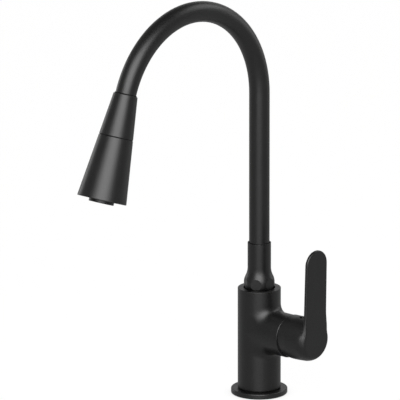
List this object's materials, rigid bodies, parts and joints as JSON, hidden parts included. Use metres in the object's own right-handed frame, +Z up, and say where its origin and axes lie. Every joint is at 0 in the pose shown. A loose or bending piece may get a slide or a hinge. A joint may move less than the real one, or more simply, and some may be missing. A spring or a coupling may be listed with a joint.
{
  "type": "pull-down kitchen faucet",
  "caption": "Single-lever kitchen faucet with a high swivelling gooseneck, a side lever with an upright paddle and a conical pull-down spray head, matte black.",
  "frame": {"origin": "centre of the flange underside, on the deck", "axes": "+Z up along the swivel axis, spout reaches towards -Y (the user), lever on the +X side"},
  "size_m": [0.1098, 0.2818, 0.427],
  "materials": {
    "black": "matte black powder coat on brass and zinc",
    "seal_rubber": "moulded black rubber",
    "black_plastic": "moulded black plastic",
    "grey_plastic": "moulded grey plastic",
    "ceramic": "lapped white ceramic",
    "brass": "turned brass",
    "steel": "plain stainless steel",
    "screw_steel": "blackened steel",
    "hose_braid": "dark nylon braid over a plastic hose"
  },
  "bodies": {
    "base": {"base_flange": "black", "base_gasket": "seal_rubber", "foot_seal": "seal_rubber", "body": "black", "cartridge_base": "grey_plastic", "port_seals": "seal_rubber", "fixed_disc": "ceramic", "cartridge_casing": "grey_plastic", "cartridge_nut": "brass", "dome_cap": "black_plastic", "spout_nut": "black", "swivel_bush": "black_plastic", "seat_bush": "black_plastic"},
    "turn_carrier": {"carrier": "grey_plastic", "pivot_pin": "steel"},
    "disc": {"moving_disc": "ceramic", "disc_driver": "grey_plastic"},
    "lever": {"lever_stem": "brass", "handle": "black", "set_screw": "screw_steel"},
    "spout": {"spout_tube": "black", "split_ring": "steel", "tube_seal": "seal_rubber", "docking_collar": "black", "docking_gasket": "seal_rubber", "docking_insert": "black_plastic", "hose_inlet_fitting": "brass"},
    "hose_end": {"hose": "hose_braid", "hose_ferrule": "steel", "hose_nipple": "brass"},
    "spray_head": {"head_shell": "black", "head_core": "black_plastic", "hose_nut": "brass", "filter_washer": "seal_rubber", "check_valve": "seal_rubber", "face_ring": "black_plastic", "aerator_housing": "black", "aerator_gasket": "seal_rubber", "aerator_insert": "grey_plastic"}
  },
  "joints": [
    {"name": "spout_swivel", "type": "hinge", "parent": "base", "child": "spout", "pos_m": [0, 0, 0.112], "axis": [0, 0, 1], "continuous": true},
    {"name": "lever_turn", "type": "hinge", "parent": "base", "child": "turn_carrier", "pos_m": [0.034, 0, 0.0682], "axis": [1, 0, 0], "range_deg": [-50, 50]},
    {"name": "lever_lift", "type": "hinge", "parent": "turn_carrier", "child": "lever", "pos_m": [0.034, 0, 0.0682], "axis": [0, 1, 0], "range_deg": [0, 22]},
    {"name": "disc_slide", "type": "slide", "parent": "turn_carrier", "child": "disc", "axis": [0, 0, 1], "range_m": [0, 0.0026]},
    {"name": "head_pull", "type": "slide", "parent": "spout", "child": "hose_end", "axis": [0, -0.3247, -0.9458], "range_m": [0, 0.22], "stiffness_N_per_m": 12, "springref_m": -0.55, "deforming": ["hose"]},
    {"name": "head_spin", "type": "hinge", "parent": "hose_end", "child": "spray_head", "pos_m": [0, -0.20919, 0.30641], "axis": [0, -0.3247, -0.9458], "continuous": true}
  ],
  "couplings": [
    {"joint": "disc_slide", "follows": "lever_lift", "m_per_rad": 0.00605}
  ]
}
